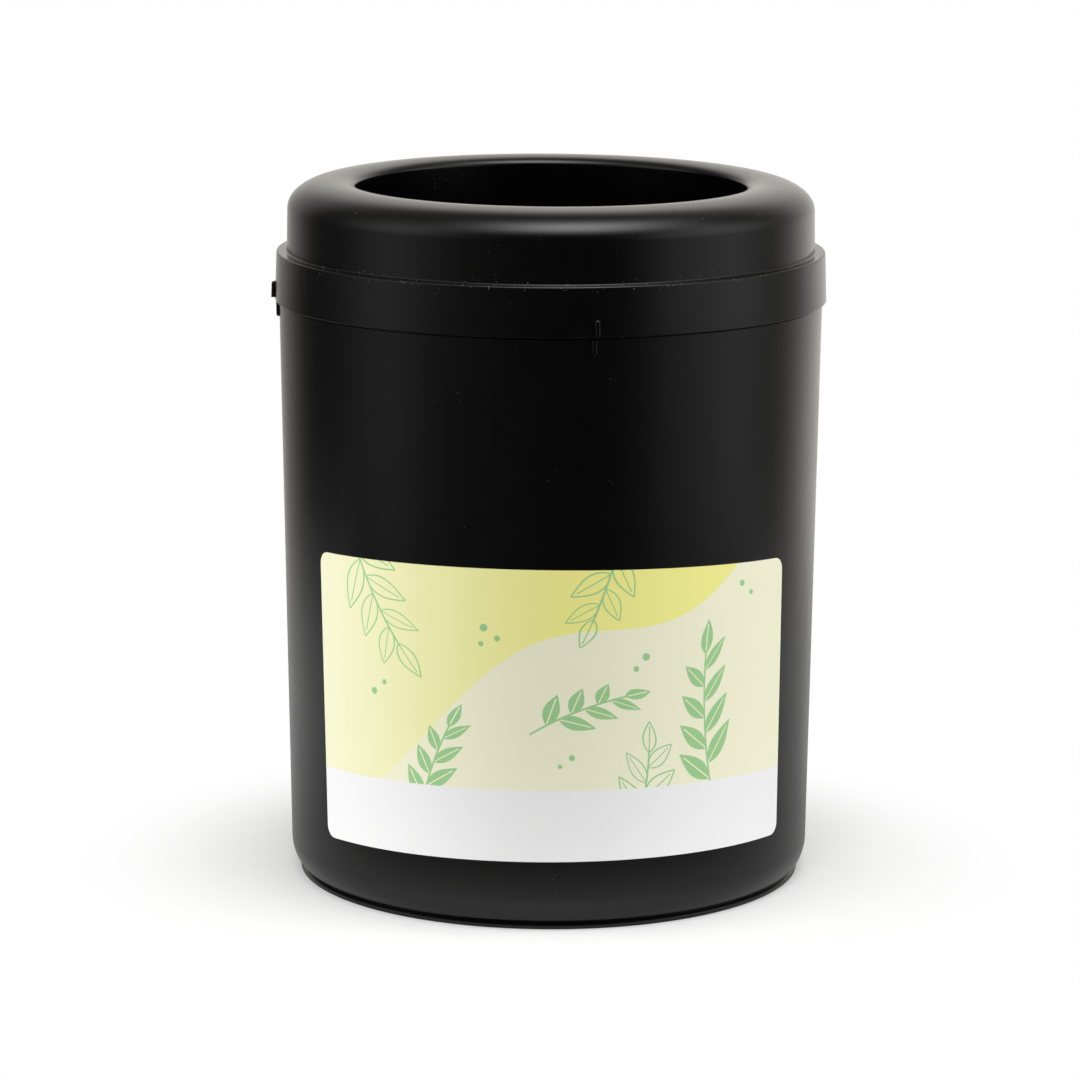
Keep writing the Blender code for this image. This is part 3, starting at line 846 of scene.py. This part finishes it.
def bead_bed(fill, tub):
    """A solid bed with loose beads on it. Each bead is the round one, stretched in three
    directions and turned about the upright one."""
    rng = np.random.default_rng(SEED)
    gap, corner, low, edge, middle = 0.3 * MM, 5.2 * MM, fill.bed_low, 1.0 * MM, 1.5 * MM
    wall_low = tub_wall(tub, tub.corner_z) - tub.wall - gap
    wall_high = tub_wall(tub, fill.bed_z) - tub.wall - 2 * gap
    bend = arc((wall_low - corner, low + corner), (corner, corner), -90, 0, 6)
    profile = np.vstack([[(middle, low)], bend, [(wall_high, fill.bed_z - edge),
                        (wall_high - edge, fill.bed_z), (middle, fill.bed_z)]])
    turns = np.linspace(-np.pi, np.pi, 72, endpoint=False)
    body, quads, tris = capped_solid(turns, profile)
    centres = bead_centres(fill, wall_high - 2.6 * MM, rng)
    beads = len(centres)
    ball, ball_quads, ball_tris = bead_ball()
    stretch = rng.uniform((0.92, 0.86, 0.82), (1.08, 1.0, 1.0), (beads, 3))
    stretch = stretch * fill.bead_r * rng.uniform(0.86, 1.1, (beads, 1))
    spin = rng.uniform(-np.pi, np.pi, beads)[:, None]
    shape = ball[None, :, :] * stretch[:, None, :]
    x = shape[..., 0] * np.cos(spin) - shape[..., 1] * np.sin(spin)
    y = shape[..., 0] * np.sin(spin) + shape[..., 1] * np.cos(spin)
    loose = np.stack([x, y, shape[..., 2]], axis=-1) + centres[:, None, :]
    first = len(body) + len(ball) * np.arange(beads)[:, None, None]
    quads = np.vstack([quads, (first + ball_quads).reshape(-1, 4)])
    tris = np.vstack([tris, (first + ball_tris).reshape(-1, 3)])
    obj = mesh_object("scent_bead_bed", np.vstack([body, loose.reshape(-1, 3)]), quads, tris, 60.0)
    own = np.repeat(rng.uniform(0.82, 1.12, beads), len(ball))
    # the solid bed under the loose beads gets the darker tone 0.75: painted shade in the gaps between the
    # beads
    tone = np.concatenate([np.full(len(body), 0.75), own]).astype(np.float32)
    obj.data.attributes.new("tone", "FLOAT", "POINT").data.foreach_set("value", tone)
    return obj


def bead_resin(finish):
    """Pale resin, a little different from bead to bead, with a smooth cloudy skin; the solid bed under the
    loose beads is darker, as painted shade.
    """
    material, g = new_material("bead_resin")
    place = g.place()
    own = g.node("Attribute", attribute_name="tone").outputs["Fac"]
    tone = g.multiply(own, g.ramp(g.noise(place, 700.0), 0.3, 0.7, 0.9, 1.08))
    skin = g.scaled(finish.bead[:], tone)
    rough = g.ramp(g.noise(place, 1400.0), 0.3, 0.7, 0.28, 0.42)
    shader = g.node("BsdfPrincipled", {"Base Color": skin, "Roughness": rough})
    close_material(g, shader, g.noise(place, 1800.0), 0.2, 0.00006)
    return material


class CARTRIDGE_OT_beads(bpy.types.Operator):
    """Fills the tub with scent beads"""
    bl_idname = "cartridge.beads"
    bl_label = "Scent beads"

    def execute(self, context):
        scene = context.scene
        obj = bead_bed(scene.cartridge_fill, scene.cartridge_tub)
        finish_piece(obj, bead_resin(scene.cartridge_finish), "bead_resin", "scent_beads")
        return {"FINISHED"}


# the light's soft sources: direction as azimuth from the front towards +X and elevation, widths
# sideways and upright, all in degrees, and strength
SOFT_SOURCES = {
    "softbox over the front": (16, 65, 25, 18, 2.52),
    "back wall, high": (179, 33, 16, 14, 0.84),
    "panel on the right": (82, 20, 22, 34, 1),
    "panel on the left": (-72, 25, 24, 37, 0.64),
    "back wall, right": (149, -6, 27, 42, 0.84),
    "back wall, left": (-147, 7, 15, 28, 0.38),
    "wide glow, high on the left": (-129, 54, 91, 19, 0.11),
    "fill between front and right": (54, 11, 15, 21, 0.46),
    "back wall, low": (-176, -2, 18, 30, 0.74),
    "softbox over the top": (45, 81, 20, 17, 3.45),
}
AMBIENT = 0.042

# lamps that light the label and the floor but don't show in the gloss: azimuth and elevation in
# degrees, and watts
SIDE_LAMPS = {
    "right": (87, 12, 4.0),
    "left": (-82, 12, 2.5),
    "left, further back": (-96, 12, 3.3),
    "front": (-10, 20, 3.05),
}

# sources further round than this, in degrees, come off warm walls behind the object
WARM_FROM = 100
WARM = (1.04, 1.0, 0.935)


def direction(azimuth, elevation):
    """Unit vector at these angles in degrees: (sin a cos e, -cos a cos e, sin e)."""
    a, e = math.radians(azimuth), math.radians(elevation)
    return (math.sin(a) * math.cos(e), -math.cos(a) * math.cos(e), math.sin(e))


def studio_world(scene):
    """White to the camera. For light, a sum of soft sources: each is strength times a bell
    curve of the sideways and upright angles from its own direction."""
    world = bpy.data.worlds.new("studio")
    world.use_nodes = True
    g = Graph(world.node_tree)
    ray = g.node("TexCoord").outputs["Generated"]
    sums = {False: 0.0, True: 0.0}
    for azimuth, elevation, wide, tall, strength in SOFT_SOURCES.values():
        along = g.vector("DOT_PRODUCT", ray, direction(azimuth, elevation), out=1)
        side = g.vector("DOT_PRODUCT", ray, direction(azimuth + 90, 0), out=1)
        rise = g.vector("DOT_PRODUCT", ray, direction(azimuth, elevation + 90), out=1)
        a = g.arctan2(side, along)
        b = g.arcsine(rise)
        fall_a = g.multiply(g.subtract(1.0, g.cosine(a)), 2 / math.radians(wide) ** 2)
        fall_b = g.power(g.divide(b, math.radians(tall)), 2.0)
        bell = g.exponent(g.multiply(g.add(fall_a, fall_b), -1.0))
        behind = abs(azimuth) > WARM_FROM
        sums[behind] = g.multiply_add(bell, strength, sums[behind])
    warm = g.scaled(WARM, sums[True])
    plain_sum = g.add(sums[False], AMBIENT)
    light = g.node("Background", {"Color": g.vector("ADD", warm, plain_sum), "Strength": 1.0})
    white = g.node("Background", {"Color": (1, 1, 1, 1), "Strength": 1.0})
    seen = g.node("LightPath").outputs["Is Camera Ray"]
    both = g.node("MixShader", {0: seen, 1: light.outputs[0], 2: white.outputs[0]})
    output = g.node("OutputWorld")
    g.put(output.inputs["Surface"], both.outputs[0])
    scene.world = world


def side_lamps(scene):
    """Large square lamps that face the label's height from the given directions."""
    size, distance, height = 0.5, 0.9, 0.06
    for azimuth, elevation, watts in SIDE_LAMPS.values():
        away = Vector(direction(azimuth, elevation))
        lamp = bpy.data.lights.new("side_lamp", "AREA")
        lamp.size = size
        lamp.energy = watts
        obj = bpy.data.objects.new("side_lamp", lamp)
        aim = Matrix.Translation(away * distance + Vector((0, 0, height)))
        obj.matrix_world = aim @ away.to_track_quat("Z", "Y").to_matrix().to_4x4()
        obj.visible_glossy = False
        obj.visible_camera = False
        scene.collection.objects.link(obj)


def studio_floor(studio):
    """Flat disc, a function of angle and radius, whose finish fades out towards its rim. For all rays but
    the camera's its colour is a dimmer copy with painted shade, darkest in front where less of the light
    falls, and painted light close to the foot, so the object mirrors it darker in front."""
    spokes, rings = 96, 24
    foot, fade_end, near_end, clear_start = 0.068, 0.135, 0.15, 0.22
    radii = np.linspace(0.0, 1.0, rings + 1)[1:] * studio.floor_r
    t = np.linspace(-np.pi, np.pi, spokes, endpoint=False)[:, None]
    verts = np.stack([radii * np.sin(t), -radii * np.cos(t), np.zeros((spokes, rings))], axis=-1)
    quads = grid_faces(spokes, rings, True, False)
    i = np.arange(spokes)
    middle = np.stack([i * rings, np.full(spokes, spokes * rings), (i + 1) % spokes * rings], axis=1)
    points = np.vstack([verts.reshape(-1, 3), [(0.0, 0.0, 0.0)]])
    floor = mesh_object("studio_floor", points, quads, middle)
    material, g = new_material("floor_paper")
    place = g.place()
    away = g.vector("LENGTH", place, out=1)
    tone = g.ramp(g.noise(place, 60.0), 0.3, 0.7, 0.99, 1.01)
    skin = g.scaled(studio.floor[:], tone)
    paper = g.node("BsdfDiffuse")
    clear = g.node("BsdfTransparent")
    seen = g.node("LightPath").outputs["Is Camera Ray"]
    # painted shade and light: for rays other than the camera's the floor is dimmer, darker in front and
    # lighter close to the foot
    front = g.mix(g.ramp(away, foot, near_end), rgba(studio.floor_near_painted_light), rgba(studio.floor_front_painted_shade))
    behind = g.ramp(g.part(place, 1), -0.10, 0.04)
    mirrored_painted_shading = g.mix(behind, front, rgba(studio.floor_dim_painted_shade))
    g.put(paper.inputs["Color"], g.mix(seen, mirrored_painted_shading, skin))
    share = g.ramp(away, clear_start, studio.floor_r * 0.97)
    fade = g.ramp(away, foot, fade_end, 0.2, 1.0)
    share = g.maximum(share, g.multiply(seen, fade))
    both = g.node("MixShader", {0: share, 1: paper.outputs[0], 2: clear.outputs[0]})
    close_material(g, both)
    floor.data.materials.append(material)


class CARTRIDGE_OT_stage(bpy.types.Operator):
    """Sets the floor, the soft studio light and the camera"""
    bl_idname = "cartridge.stage"
    bl_label = "Stage"

    def execute(self, context):
        scene = context.scene
        studio = scene.cartridge_studio
        studio_floor(studio)
        studio_world(scene)
        side_lamps(scene)
        data = bpy.data.cameras.new("photo_camera")
        data.sensor_width = 36.0
        data.lens = studio.lens
        data.shift_x = studio.shift_x
        data.clip_end = 20.0
        camera = bpy.data.objects.new("photo_camera", data)
        scene.collection.objects.link(camera)
        camera.matrix_world = (Matrix.Translation((0.0, -studio.distance, studio.height))
                               @ Matrix.Rotation(math.pi / 2 - studio.pitch, 4, "X")
                               @ Matrix.Rotation(studio.roll, 4, "Z"))
        scene.camera = camera
        scene.view_settings.view_transform = "Standard"
        return {"FINISHED"}


OPERATORS = (CARTRIDGE_OT_tub, CARTRIDGE_OT_lid, CARTRIDGE_OT_label, CARTRIDGE_OT_screen,
             CARTRIDGE_OT_beads, CARTRIDGE_OT_stage)


class CARTRIDGE_PT_parts(bpy.types.Panel):
    """Lists the cartridge's pieces and the stage"""
    bl_idname = "CARTRIDGE_PT_parts"
    bl_label = "Fragrance cartridge"
    bl_space_type = "VIEW_3D"
    bl_region_type = "UI"
    bl_category = "Cartridge"

    def draw(self, context):
        for operator in OPERATORS:
            self.layout.operator(operator.bl_idname)


CLASSES = (*GROUPS.values(), *OPERATORS, CARTRIDGE_PT_parts)


def register():
    for cls in CLASSES:
        bpy.utils.register_class(cls)
    for name, group in GROUPS.items():
        setattr(bpy.types.Scene, name, bpy.props.PointerProperty(type=group))


def unregister():
    for name in GROUPS:
        delattr(bpy.types.Scene, name)
    for cls in reversed(CLASSES):
        bpy.utils.unregister_class(cls)


def main():
    register()
    bpy.ops.cartridge.tub()
    bpy.ops.cartridge.lid()
    bpy.ops.cartridge.label()
    bpy.ops.cartridge.screen()
    bpy.ops.cartridge.beads()
    bpy.ops.cartridge.stage()


if __name__ == "__main__":
    main()
